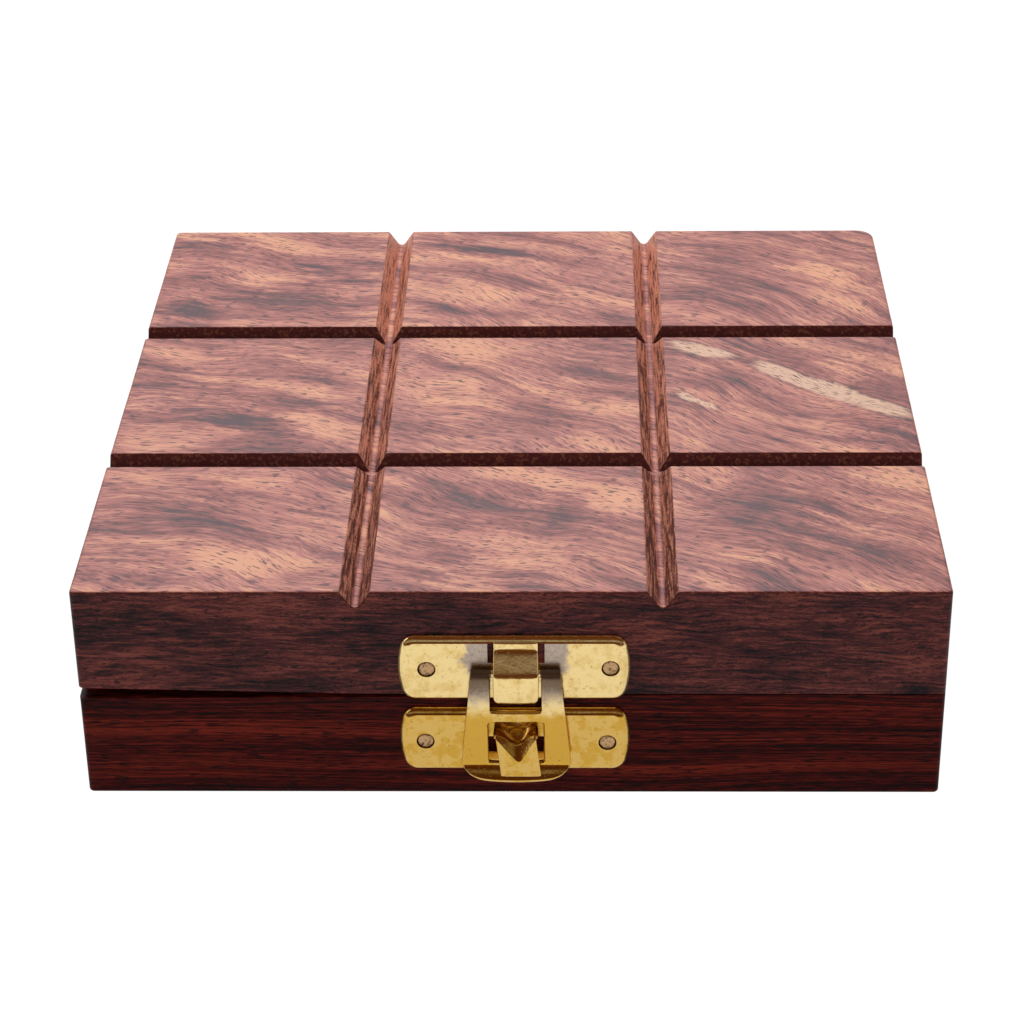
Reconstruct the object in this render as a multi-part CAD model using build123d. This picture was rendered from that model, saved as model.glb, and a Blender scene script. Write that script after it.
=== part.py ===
from build123d import *
import math
import os

# Tic-tac-toe and solitaire box: two hollowed rosewood planks joined by brass butt hinges.
# Millimetres. X runs left to right, the clasp faces -Y, Z points up, origin at the middle of the underside.

# Case
case_width = 127.0
case_depth = 127.0
base_height = 17.5
lid_height = 17.4
lid_gap = 0.2
wall = 8.0
base_floor = 4.0
lid_recess_depth = 9.8
corner_radius = 0.8
rear_right_radius = 3.0
pocket_corner_radius = 3.0
edge_easing = 0.5

# Grooves of the tic-tac-toe grid, where the photo shows them
groove_width = 4.5
groove_depth = 3.2
groove_bottom_radius = 0.8
groove_lip_radius = 0.3
groove_left = -22.3
groove_right = 22.0
groove_front = -23.8
groove_rear = 21.4

# Hand-sanded easing of the seam at the front left corner
base_relief_height = 0.7
base_relief_length = 95.0
lid_relief_height = 1.0
lid_relief_length = 42.0
relief_depth = 5.0

# Solitaire board
peg_pitch = 11.5
hole_margin = 5.5
board_thickness = 11.0
board_fit = 0.3
board_easing = 0.4
peg_shaft_radius = 1.35
peg_fit = 0.08
peg_engagement = 5.0
hole_spare_depth = 0.4
peg_shoulder_radius = 1.95
peg_waist_radius = 1.15
peg_head_radius = 1.75
peg_height = 6.2

# Crosses and noughts
counter_play = 1.25
counter_thickness = 5.0
counter_easing = 0.5
cross_bar_width = 5.0
nought_ring_width = 4.4

# Butt hinges
hinge_length = 22.0
hinge_inset = 19.0
leaf_width = 6.0
leaf_thickness = 0.9
leaf_set_back = 0.1
leaf_fit = 0.1
barrel_radius = 1.6
barrel_gap = 0.3
knuckle_gap = 0.2
hinge_pin_radius = 0.75
hinge_pin_fit = 0.05
pin_head_length = 0.5
hinge_nail_spacing = 13.0
hinge_nail_radius = 0.55
hinge_nail_head_radius = 1.15
hinge_nail_head_depth = 0.5
hinge_nail_length = 5.5
nail_fit = 0.02

# Clasp plates
clasp_x = 0.5
plate_width = 34.0
plate_height = 11.0
plate_thickness = 1.1
plate_bevel = 0.85
plate_end_bulge = 1.0
plate_corner_radius = 1.8
plate_seat = 0.05
upper_plate_rise = 4.8
lower_plate_drop = 7.4
sheet = 0.9

# Clasp nails
clasp_nail_offset = 0.4
clasp_nail_spacing = 26.8
clasp_nail_head_radius = 1.22
clasp_nail_head_thickness = 0.4
clasp_nail_radius = 0.6
clasp_nail_length = 6.0
head_sink = 0.12
head_fit = 0.08

# Loop of the upper plate, hasp and catch; heights are from the middle of their plate, up or down
hasp_x = 0.75
loop_width = 6.85
loop_reach = 2.65
loop_foot_drop = 4.15
loop_shoulder_rise = 0.5
loop_top_rise = 3.5
loop_bend = 0.75
loop_slot_width = 8.3
loop_slot_low_rise = 1.3
loop_slot_high_rise = 4.7
pivot_rise = 0.1
bar_radius = 0.65
hasp_gap = 1.2
hasp_fold_drop = 1.3
hasp_top_width = 13.1
hasp_width = 16.3
hasp_bend_drop = 2.5
hasp_bend = 0.9
hasp_opening_width = 7.45
hasp_opening_low_rise = 6.3
window_width = 8.06
window_low_drop = 2.3
window_high_rise = 4.65
lip_reach = 1.8
lip_drop = 2.0
lip_bottom_drop = 5.0
lip_bulge = 0.5
lip_corner_radius = 2.3
catch_width = 6.2
catch_reach = 3.7
catch_top_rise = 2.7
catch_low_drop = 3.35
catch_return = 0.85
catch_bend = 0.7
catch_dent_depth = 4.2
catch_lean = 4.0
catch_slot_width = 8.2
catch_slot_low_drop = 1.8
catch_slot_high_rise = 0.9
swing_clearance = 0.2

# Places worked out from the sizes above
lid_low_z = base_height + lid_gap
lid_high_z = lid_low_z + lid_height
ceiling_z = lid_low_z + lid_recess_depth
inner_width = case_width - 2 * wall
inner_depth = case_depth - 2 * wall
board_top_z = base_floor + board_thickness
board_arm = 2 * peg_pitch + 2 * hole_margin
counter_cell = (min(inner_width, inner_depth) - board_arm) / 4
counter_size = counter_cell - counter_play
front_y = -case_depth / 2
back_y = case_depth / 2
hinge_axis_y = back_y + barrel_gap + barrel_radius
hinge_axis_z = base_height + lid_gap / 2
upper_plate_z = lid_low_z + upper_plate_rise
lower_plate_z = base_height - lower_plate_drop
pivot_z = upper_plate_z + pivot_rise
hasp_bend_z = lower_plate_z - hasp_bend_drop
window_low_z = lower_plate_z - window_low_drop
lip_bottom_z = lower_plate_z - lip_bottom_drop
catch_top_z = lower_plate_z + catch_top_rise
catch_low_z = lower_plate_z - catch_low_drop
plate_back_y = front_y - plate_seat
plate_front_y = plate_back_y - plate_thickness
strip_y = plate_front_y + sheet / 2
loop_y = strip_y - loop_reach
pivot_y = (plate_front_y + loop_y + sheet / 2) / 2
hasp_y = plate_front_y - hasp_gap - sheet / 2
catch_y = plate_front_y - catch_reach
overcut = 2.0


def block(x_low, x_high, y_low, y_high, z_low, z_high):
    """A plain rectangular block between the given planes."""
    middle = Pos((x_low + x_high) / 2, (y_low + y_high) / 2, (z_low + z_high) / 2)
    return middle * Box(x_high - x_low, y_high - y_low, z_high - z_low)


def front_plane(x, y, z):
    """A plane that faces the player: local x runs right, local y up, and its normal is -Y."""
    return Plane(origin=(x, y, z), x_dir=(1, 0, 0), z_dir=(0, -1, 0))


# Case

def case_plank(z_low, z_high):
    """A plank with the outline of the case; the rear right corner is rounder than the others."""
    outline = Rectangle(case_width, case_depth)
    sharp = [v for v in outline.vertices() if v.X + v.Y < case_width / 4]
    outline = fillet(sharp, corner_radius)
    rear_right = outline.vertices().sort_by(lambda v: v.X + v.Y)[-1]
    outline = fillet(rear_right, rear_right_radius)
    return Pos(0, 0, z_low) * extrude(outline, amount=z_high - z_low)


def ease_rim(plank, highest):
    """Round the outer edges of a plank's top or bottom face."""
    faces = plank.faces().sort_by(Axis.Z)
    rim = faces[-1] if highest else faces[0]
    return fillet(rim.edges(), min(edge_easing, 0.8 * corner_radius))


def pocket(z_low, z_high):
    """The routed hollow inside the walls."""
    outline = RectangleRounded(inner_width, inner_depth, pocket_corner_radius)
    return Pos(0, 0, z_low) * extrude(outline, amount=z_high - z_low)


def seam_relief(height, length, z_seam, direction):
    """A thin wedge sanded off the front edge at the seam, highest at the left corner."""
    corner = -case_width / 2
    tall = z_seam + direction * height
    spare = z_seam - direction * overcut
    slope = -height / length
    outside = tall - direction * slope * overcut
    wedge = Polyline(
        (corner - overcut, outside),
        (corner + length, z_seam),
        (corner + length, spare),
        (corner - overcut, spare),
        close=True,
    )
    face = front_plane(0, front_y + relief_depth, 0) * make_face(wedge)
    return extrude(face, amount=relief_depth + overcut)


def groove_cutter(length):
    """A V with a rounded bottom, lying along X with its top at the lid's face."""
    half = groove_width / 2
    profile = Polyline(
        (-half, 0),
        (0, -groove_depth),
        (half, 0),
        (half, overcut),
        (-half, overcut),
        close=True,
    )
    face = make_face(profile)
    bottom = face.vertices().sort_by(Axis.Y)[0]
    face = fillet(bottom, groove_bottom_radius)
    return extrude(Plane.YZ * face, amount=length / 2, both=True)


def grooves():
    """Two grooves each way across the lid."""
    along_x = groove_cutter(case_width + 2 * overcut)
    along_y = Rot(0, 0, 90) * groove_cutter(case_depth + 2 * overcut)
    cutters = [Pos(0, y, lid_high_z) * along_x for y in (groove_front, groove_rear)]
    cutters += [Pos(x, 0, lid_high_z) * along_y for x in (groove_left, groove_right)]
    return cutters


def ease_groove_lips(lid):
    """Round the upper edges of the grooves, which stop short of the lid's eased rim."""
    top = lid.faces().filter_by(Axis.Z).group_by(Axis.Z)[-1].edges().filter_by(GeomType.LINE)
    inside_x = case_width / 2 - 2 * edge_easing
    inside_y = case_depth / 2 - 2 * edge_easing
    lips = [e for e in top if abs(e.center().X) < inside_x and abs(e.center().Y) < inside_y]
    return fillet(lips, groove_lip_radius)


# Butt hinges

def hinge_centres():
    """The middle of each hinge along the back, left one first."""
    out = case_width / 2 - hinge_inset - hinge_length / 2
    return (-out, out)


def leaf_span(on_lid):
    """The heights of a leaf, flush with the rim that it is let into."""
    if on_lid:
        return (lid_low_z, lid_low_z + leaf_thickness)
    return (base_height - leaf_thickness, base_height)


def leaf_seat(x, on_lid):
    """The shallow recess that a leaf lies in, open at the back."""
    z_low, z_high = leaf_span(on_lid)
    half = hinge_length / 2 + leaf_fit
    y_low = back_y - leaf_set_back - leaf_width - leaf_fit
    if on_lid:
        return block(x - half, x + half, y_low, back_y + overcut, z_low - overcut, z_high)
    return block(x - half, x + half, y_low, back_y + overcut, z_low, z_high + overcut)


def hinge_nail(fit, length_spare=0.0):
    """A countersunk nail with its flat head at z = 0, pointing down."""
    head_r = hinge_nail_head_radius + fit
    shank_r = hinge_nail_radius + fit
    shank_length = hinge_nail_length + length_spare
    head = Pos(0, 0, -hinge_nail_head_depth / 2) * Cone(shank_r, head_r, hinge_nail_head_depth)
    shank = Pos(0, 0, -hinge_nail_head_depth - shank_length / 2) * Cylinder(shank_r, shank_length)
    return head + shank


def hinge_nail_places(on_lid):
    """Where the two nails of each leaf stand, turned to point into the wood."""
    y = back_y - leaf_set_back - leaf_width / 2
    places = []
    for x in hinge_centres():
        for side in (-1, 1):
            spot = x + side * hinge_nail_spacing / 2
            if on_lid:
                places.append(Pos(spot, y, lid_low_z) * Rot(180, 0, 0))
            else:
                places.append(Pos(spot, y, base_height))
    return places


def knuckle(x_low, x_high):
    """One tube of the barrel, without its bore."""
    middle = Pos((x_low + x_high) / 2, hinge_axis_y, hinge_axis_z)
    return middle * Rot(0, 90, 0) * Cylinder(barrel_radius, x_high - x_low)


def hinge_leaf(x, on_lid):
    """A leaf with its knuckles: the outer two on the base, the middle one on the lid."""
    z_low, z_high = leaf_span(on_lid)
    x_low = x - hinge_length / 2
    x_high = x + hinge_length / 2
    y_high = back_y - leaf_set_back
    third = hinge_length / 3
    if on_lid:
        spans = [(x_low + third + knuckle_gap / 2, x_high - third - knuckle_gap / 2)]
    else:
        spans = [(x_low, x_low + third - knuckle_gap / 2), (x_high - third + knuckle_gap / 2, x_high)]
    leaf = block(x_low, x_high, y_high - leaf_width, y_high, z_low, z_high)
    for start, end in spans:
        tab = block(start, end, y_high - leaf_set_back, hinge_axis_y, z_low, z_high)
        leaf = leaf + tab + knuckle(start, end)
    bore_radius = hinge_pin_radius + hinge_pin_fit
    bore = Rot(0, 90, 0) * Cylinder(bore_radius, hinge_length + 2 * overcut)
    leaf -= Pos(x, hinge_axis_y, hinge_axis_z) * bore
    for place in hinge_nail_places(on_lid):
        leaf -= place * hinge_nail(nail_fit)
    return leaf


def hinge_pin(x):
    """The pin through the barrel, with a small riveted head at each end."""
    pin = Cylinder(hinge_pin_radius, hinge_length + 2 * pin_head_length)
    head = Cylinder(0.8 * barrel_radius, pin_head_length)
    head = fillet(head.edges().sort_by(Axis.Z)[-1], 0.6 * pin_head_length)
    out = hinge_length / 2 + pin_head_length / 2 + hinge_pin_fit
    pin = pin + Pos(0, 0, out) * head + Pos(0, 0, -out) * Rot(180, 0, 0) * head
    return Pos(x, hinge_axis_y, hinge_axis_z) * Rot(0, 90, 0) * pin


# Clasp nails

def clasp_nail_places(z):
    """The two nails of a clasp plate, pointing into the wood."""
    middle = clasp_x + clasp_nail_offset
    half = clasp_nail_spacing / 2
    return [front_plane(middle + side * half, plate_front_y, z).location for side in (-1, 1)]


def clasp_nail():
    """A nail with a thin round head sunk just below the plate's face; +Z points out of the wood."""
    head_z = -head_sink - clasp_nail_head_thickness / 2
    head = Pos(0, 0, head_z) * Cylinder(clasp_nail_head_radius, clasp_nail_head_thickness)
    head = fillet(head.edges().sort_by(Axis.Z)[-1], 0.3 * clasp_nail_head_thickness)
    shank_z = -head_sink - clasp_nail_head_thickness - clasp_nail_length / 2
    return head + Pos(0, 0, shank_z) * Cylinder(clasp_nail_radius, clasp_nail_length)


def clasp_nail_hole():
    """The sunk seat for the head and the hole for the shank."""
    depth = head_sink + clasp_nail_head_thickness
    seat = Cylinder(clasp_nail_head_radius + head_fit, depth + overcut)
    shank_length = clasp_nail_length + head_fit
    shank = Cylinder(clasp_nail_radius + nail_fit, shank_length + overcut)
    seat = Pos(0, 0, (overcut - depth) / 2) * seat
    return seat + Pos(0, 0, (overcut - shank_length) / 2 - depth) * shank


# Clasp

def strip(points, bends, width):
    """A bent strip of sheet brass: points are (y, z) along its middle line."""
    path = Plane.YZ * FilletPolyline(*points, radius=bends)
    start = Plane(origin=path @ 0, x_dir=(1, 0, 0), z_dir=path % 0)
    section = start * Rectangle(width, sheet)
    return Pos(hasp_x, 0, 0) * sweep(section, path=path)


def clasp_plate(z):
    """A stamped plate with bulged ends, rounded corners and a bevelled rim."""
    half_w = plate_width / 2 - plate_end_bulge
    half_h = plate_height / 2
    rim = [
        Line((-half_w, half_h), (half_w, half_h)),
        ThreePointArc((half_w, half_h), (plate_width / 2, 0), (half_w, -half_h)),
        Line((half_w, -half_h), (-half_w, -half_h)),
        ThreePointArc((-half_w, -half_h), (-plate_width / 2, 0), (-half_w, half_h)),
    ]
    outline = make_face(rim)
    outline = fillet(outline.vertices(), plate_corner_radius)
    plate = extrude(front_plane(clasp_x, plate_back_y, z) * outline, amount=plate_thickness)
    front = plate.faces().sort_by(Axis.Y)[0]
    return chamfer(front.edges(), min(plate_bevel, 0.9 * plate_thickness))


def make_upper_plate():
    """The lid's plate, with a strip that loops round the bar of the hasp and ends in a slot."""
    plate = clasp_plate(upper_plate_z)
    half = loop_slot_width / 2
    slot_top_z = upper_plate_z + loop_slot_high_rise
    foot_z = upper_plate_z - loop_foot_drop
    plate -= block(
        hasp_x - half, hasp_x + half,
        plate_front_y - overcut, plate_back_y + overcut,
        upper_plate_z + loop_slot_low_rise, slot_top_z,
    )
    points = [
        (strip_y, foot_z),
        (loop_y, foot_z),
        (loop_y, upper_plate_z + loop_shoulder_rise),
        (strip_y, upper_plate_z + loop_top_rise),
        (strip_y, slot_top_z - nail_fit),
    ]
    plate += strip(points, [loop_bend] * 3, loop_width)
    for place in clasp_nail_places(upper_plate_z):
        plate -= place * clasp_nail_hole()
    return plate


def lean_catch(shape):
    """The catch stands slightly askew, leaning to the right at its foot."""
    root = Pos(hasp_x, 0, catch_top_z)
    return root * Rot(0, -catch_lean, 0) * root.inverse() * shape


def make_lower_plate():
    """The base's plate, with a catch drawn out of it that the hasp's window snaps over."""
    plate = clasp_plate(lower_plate_z)
    half_slot = catch_slot_width / 2
    plate -= block(
        hasp_x - half_slot, hasp_x + half_slot,
        plate_front_y - overcut, plate_back_y + overcut,
        lower_plate_z - catch_slot_low_drop, lower_plate_z + catch_slot_high_rise,
    )
    points = [
        (strip_y, catch_top_z + 2 * catch_bend),
        (strip_y, catch_top_z),
        (catch_y, catch_top_z),
        (catch_y, catch_low_z),
        (catch_y + catch_return, catch_low_z),
    ]
    catch = strip(points, [catch_bend, catch_bend, 0.9 * catch_bend], catch_width)
    face_y = catch_y - sheet / 2
    shoulder_z = catch_top_z + sheet / 2
    gusset = Polyline(
        (plate_front_y + sheet / 2, shoulder_z - sheet / 4),
        (catch_y, shoulder_z - sheet / 2),
        (catch_y, shoulder_z - catch_dent_depth - sheet),
        close=True,
    )
    half = catch_width / 2
    gusset_body = extrude(Plane.YZ * make_face(gusset), amount=half, both=True)
    catch += Pos(hasp_x, 0, 0) * gusset_body
    dent = Polyline(
        (-half - sheet, shoulder_z + catch_dent_depth * sheet / half),
        (0, shoulder_z - catch_dent_depth),
        (half + sheet, shoulder_z + catch_dent_depth * sheet / half),
        close=True,
    )
    dent_face = front_plane(hasp_x, face_y - overcut, -overcut) * make_face(dent)
    run = math.sqrt(2) * (overcut + catch_reach + sheet / 2)
    catch -= extrude(dent_face, amount=run, dir=(0, 1, 1))
    plate += lean_catch(catch)
    for place in clasp_nail_places(lower_plate_z):
        plate -= place * clasp_nail_hole()
    return plate


def catch_swing_radius():
    """How far the foot of the catch reaches from the hasp's pivot, with clearance."""
    bend = 0.9 * catch_bend
    centre_y = catch_y + bend
    centre_z = catch_low_z + bend
    skew = catch_width / 2 * math.sin(math.radians(catch_lean))
    reach = math.hypot(centre_y - pivot_y, centre_z - pivot_z)
    return reach + bend + sheet / 2 + skew + swing_clearance


def make_hasp():
    """The swinging hasp: a bar in the loop, two arms, a window for the catch and a flared lip."""
    points = [
        (pivot_y, pivot_z),
        (hasp_y, pivot_z - hasp_fold_drop),
        (hasp_y, hasp_bend_z),
        (hasp_y - lip_reach, hasp_bend_z - lip_drop - sheet),
    ]
    body = strip(points, [0.6, hasp_bend], hasp_width + 2 * sheet)
    half_top = hasp_top_width / 2
    half_low = hasp_width / 2
    corner_z = lip_bottom_z + lip_bulge
    rim = [
        Line((-half_low, corner_z), (-half_top, pivot_z + overcut)),
        Line((-half_top, pivot_z + overcut), (half_top, pivot_z + overcut)),
        Line((half_top, pivot_z + overcut), (half_low, corner_z)),
        ThreePointArc((half_low, corner_z), (0, lip_bottom_z), (-half_low, corner_z)),
    ]
    outline = make_face(rim)
    corners = [v for v in outline.vertices() if v.Y < hasp_bend_z]
    outline = fillet(corners, lip_corner_radius)
    outer_y = hasp_y - lip_reach - 2 * sheet
    silhouette = extrude(front_plane(hasp_x, front_y, 0) * outline, amount=front_y - outer_y)
    body = body & silhouette
    half_open = hasp_opening_width / 2
    body -= block(
        hasp_x - half_open, hasp_x + half_open, outer_y, front_y,
        lower_plate_z + hasp_opening_low_rise, pivot_z + overcut,
    )
    half_win = window_width / 2
    window = block(
        hasp_x - half_win, hasp_x + half_win, outer_y, front_y,
        window_low_z, lower_plate_z + window_high_rise,
    )
    body -= window
    swing = Pos(hasp_x, pivot_y, pivot_z) * Rot(0, 90, 0) * Cylinder(catch_swing_radius(), window_width)
    below_window = block(
        hasp_x - half_win, hasp_x + half_win, outer_y - sheet, pivot_y,
        lip_bottom_z - overcut, window_low_z + sheet,
    )
    body -= swing & below_window
    bar = Pos(hasp_x, pivot_y, pivot_z) * Rot(0, 90, 0) * Cylinder(bar_radius, hasp_top_width)
    return body + bar


# Case bodies

def make_base_tray():
    """The lower plank: hollowed, let in for the hinge leaves and drilled for its nails."""
    tray = ease_rim(case_plank(0, base_height), highest=False)
    tray -= pocket(base_floor, base_height + overcut)
    tray -= seam_relief(base_relief_height, base_relief_length, base_height, -1)
    for x in hinge_centres():
        tray -= leaf_seat(x, on_lid=False)
    for place in hinge_nail_places(on_lid=False):
        tray -= place * hinge_nail(nail_fit, nail_fit)
    for place in clasp_nail_places(lower_plate_z):
        tray -= place * clasp_nail_hole()
    return tray


def make_lid():
    """The upper plank: hollowed below, grooved on top for the grid."""
    lid = ease_rim(case_plank(lid_low_z, lid_high_z), highest=True)
    lid -= pocket(lid_low_z - overcut, ceiling_z)
    lid -= seam_relief(lid_relief_height, lid_relief_length, lid_low_z, 1)
    for cutter in grooves():
        lid -= cutter
    lid = ease_groove_lips(lid)
    for x in hinge_centres():
        lid -= leaf_seat(x, on_lid=True)
    for place in hinge_nail_places(on_lid=True):
        lid -= place * hinge_nail(nail_fit, nail_fit)
    for place in clasp_nail_places(upper_plate_z):
        lid -= place * clasp_nail_hole()
    return lid


# Solitaire board, pegs and counters

def hole_grid():
    """The 33 holes of the cross-shaped board, row by row from the front left."""
    places = []
    for row in range(-3, 4):
        for column in range(-3, 4):
            if abs(row) <= 1 or abs(column) <= 1:
                places.append((column * peg_pitch, row * peg_pitch))
    return places


def make_board():
    """A plus-shaped board that leaves a compartment in each corner of the tray."""
    long_x = inner_width - 2 * board_fit
    long_y = inner_depth - 2 * board_fit
    outline = Rectangle(long_x, board_arm) + Rectangle(board_arm, long_y)
    board = Pos(0, 0, base_floor) * extrude(outline, amount=board_thickness)
    board = fillet(board.faces().sort_by(Axis.Z)[-1].edges(), board_easing)
    depth = peg_engagement + hole_spare_depth
    hole = Cylinder(peg_shaft_radius + peg_fit, 2 * depth)
    board -= [Pos(x, y, board_top_z) * hole for x, y in hole_grid()]
    return board


def turned_peg():
    """A turned peg with its shoulder on z = 0: shaft, shoulder, waist and round head."""
    head_z = peg_height - peg_head_radius
    tip = 0.3 * peg_shaft_radius
    waist_z = head_z - math.sqrt(peg_head_radius**2 - peg_waist_radius**2)
    profile = [
        Line((0, -peg_engagement), (peg_shaft_radius - tip, -peg_engagement)),
        Line((peg_shaft_radius - tip, -peg_engagement), (peg_shaft_radius, tip - peg_engagement)),
        Line((peg_shaft_radius, tip - peg_engagement), (peg_shaft_radius, 0)),
        Line((peg_shaft_radius, 0), (peg_shoulder_radius, 0)),
        Line((peg_shoulder_radius, 0), (peg_waist_radius, waist_z)),
        ThreePointArc((peg_waist_radius, waist_z), (peg_head_radius, head_z), (0, peg_height)),
        Line((0, peg_height), (0, -peg_engagement)),
    ]
    return revolve(Plane.XZ * make_face(profile), axis=Axis.Z)


def make_pegs():
    """Thirty-two pegs; the middle hole stays empty, as a game starts."""
    peg = turned_peg()
    filled = [place for place in hole_grid() if place != (0, 0)]
    return [Pos(x, y, board_top_z) * peg for x, y in filled]


def cross_counter():
    """A cross cut from one slab, standing on z = 0."""
    bar_length = math.sqrt(2) * counter_size - cross_bar_width
    bar = Rectangle(bar_length, cross_bar_width)
    outline = Rot(0, 0, 45) * bar + Rot(0, 0, -45) * bar
    cross = extrude(outline, amount=counter_thickness)
    ends = cross.faces().filter_by(Axis.Z).edges()
    return fillet(ends, min(counter_easing, 0.2 * cross_bar_width))


def nought_counter():
    """A ring turned from one slab, standing on z = 0."""
    outer = counter_size / 2
    outline = Circle(outer) - Circle(outer - nought_ring_width)
    ring = extrude(outline, amount=counter_thickness)
    return fillet(ring.edges(), min(counter_easing, 0.2 * nought_ring_width))


def compartment_spots(side_x, side_y, count):
    """Up to four places in one corner compartment, two by two."""
    half_cell_x = (inner_width - board_arm) / 8
    half_cell_y = (inner_depth - board_arm) / 8
    spots = []
    for step_y in (3, 1):
        for step_x in (3, 1):
            x = side_x * (board_arm / 2 + step_x * half_cell_x)
            y = side_y * (board_arm / 2 + step_y * half_cell_y)
            spots.append(Pos(x, y, base_floor))
    return spots[:count]


def make_counters(counter, side_x):
    """Five counters: three in the front compartment on their side and two in the rear one."""
    spots = compartment_spots(side_x, -1, 3) + compartment_spots(side_x, 1, 2)
    return [spot * counter for spot in spots]


def all_parts():
    """Every piece by name."""
    parts = {
        "base_tray": make_base_tray(),
        "solitaire_board": make_board(),
        "lid": make_lid(),
        "clasp_upper_plate": make_upper_plate(),
        "clasp_lower_plate": make_lower_plate(),
        "clasp_hasp": make_hasp(),
    }
    for side, x in zip(("left", "right"), hinge_centres()):
        parts[f"hinge_{side}_base_leaf"] = hinge_leaf(x, on_lid=False)
        parts[f"hinge_{side}_lid_leaf"] = hinge_leaf(x, on_lid=True)
        parts[f"hinge_{side}_pin"] = hinge_pin(x)
    nail = hinge_nail(0.0)
    parts["hinge_nails_base"] = Compound(children=[place * nail for place in hinge_nail_places(False)])
    parts["hinge_nails_lid"] = Compound(children=[place * nail for place in hinge_nail_places(True)])
    tack = clasp_nail()
    for name, z in (("upper", upper_plate_z), ("lower", lower_plate_z)):
        tacks = [place * tack for place in clasp_nail_places(z)]
        parts[f"clasp_nails_{name}"] = Compound(children=tacks)
    for number, peg in enumerate(make_pegs(), 1):
        parts[f"peg_{number:02d}"] = peg
    for number, cross in enumerate(make_counters(cross_counter(), -1), 1):
        parts[f"cross_{number}"] = cross
    for number, nought in enumerate(make_counters(nought_counter(), 1), 1):
        parts[f"nought_{number}"] = nought
    return parts


os.makedirs("parts", exist_ok=True)
for name, shape in all_parts().items():
    export_step(shape, f"parts/{name}.step")
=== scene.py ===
import math

import bmesh
import bpy
from bpy.props import FloatProperty, FloatVectorProperty, PointerProperty
from mathutils import Matrix, Vector


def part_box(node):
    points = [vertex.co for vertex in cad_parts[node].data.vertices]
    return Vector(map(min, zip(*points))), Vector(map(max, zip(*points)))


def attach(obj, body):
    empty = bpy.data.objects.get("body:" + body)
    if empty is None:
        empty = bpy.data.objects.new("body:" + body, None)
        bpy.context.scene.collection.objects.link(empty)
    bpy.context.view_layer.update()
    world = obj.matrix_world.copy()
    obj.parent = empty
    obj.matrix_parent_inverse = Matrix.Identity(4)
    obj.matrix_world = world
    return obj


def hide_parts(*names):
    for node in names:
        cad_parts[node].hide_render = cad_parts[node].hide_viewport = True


bl_info = {
    "name": "Tic-tac-toe and solitaire box",
    "version": (1, 0, 0),
    "blender": (4, 5, 0),
    "location": "3D View > Sidebar > Game Box",
    "description": "Dresses a hinged rosewood game box, its brass clasp, its pegs and its counters",
    "category": "Object",
}

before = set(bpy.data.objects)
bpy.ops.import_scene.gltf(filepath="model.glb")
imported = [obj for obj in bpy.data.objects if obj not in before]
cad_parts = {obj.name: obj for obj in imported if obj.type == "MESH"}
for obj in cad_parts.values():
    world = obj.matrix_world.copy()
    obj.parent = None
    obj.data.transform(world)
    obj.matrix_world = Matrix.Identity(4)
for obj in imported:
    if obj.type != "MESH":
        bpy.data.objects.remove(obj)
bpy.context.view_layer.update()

MM = 0.001
PER_METRE = 1000.0
THROUGH = 1000.0  # half the height of a patch of figure, in millimetres: it goes right through the wood


def length_setting(name, description, default):
    """A length in metres."""
    return FloatProperty(
        name=name, description=description, default=default, unit="LENGTH", subtype="DISTANCE"
    )


def angle_setting(name, description, degrees):
    """An angle, shown in degrees."""
    return FloatProperty(
        name=name, description=description, default=math.radians(degrees), unit="ROTATION", subtype="ANGLE"
    )


def colour_setting(name, description, default):
    """A colour, written as linear light."""
    return FloatVectorProperty(
        name=name, description=description, default=default, size=3, min=0.0, max=1.0, subtype="COLOR"
    )


def number_setting(name, description, default, low=0.0, high=100.0):
    """A plain number."""
    return FloatProperty(name=name, description=description, default=default, min=low, max=high)


class StageSettings(bpy.types.PropertyGroup):
    """The camera, the lamps and the floor."""

    camera_azimuth: angle_setting("Camera azimuth", "How far the camera stands round to the right", 1.5)
    camera_elevation: angle_setting("Camera elevation", "How far the camera looks down", 29.7)
    camera_roll: angle_setting("Camera roll", "How far the camera leans", -0.8)
    camera_distance: length_setting("Camera distance", "From the camera to the point it aims at", 0.4655)
    camera_aim: FloatVectorProperty(
        name="Camera aim",
        description="The point in the middle of the picture",
        default=(-0.00113, 0.0, 0.0121),
        size=3,
        unit="LENGTH",
        subtype="TRANSLATION",
    )
    lens: number_setting("Lens", "Focal length in millimetres on a 36 mm sensor", 97.9, 10.0, 400.0)
    key_power: number_setting("Key lamp", "Power of the soft box above and behind, in watts", 5.9)
    side_power: number_setting("Side lamp", "Power of the soft box at the left, in watts", 0.7)
    front_power: number_setting("Front lamp", "Power of the soft box in front, in watts", 4.2)
    ambient: number_setting("Ambient light", "Strength of the light from all round", 0.26, 0.0, 1.0)
    floor_size: length_setting("Floor size", "Side of the square floor", 6.0)


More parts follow.
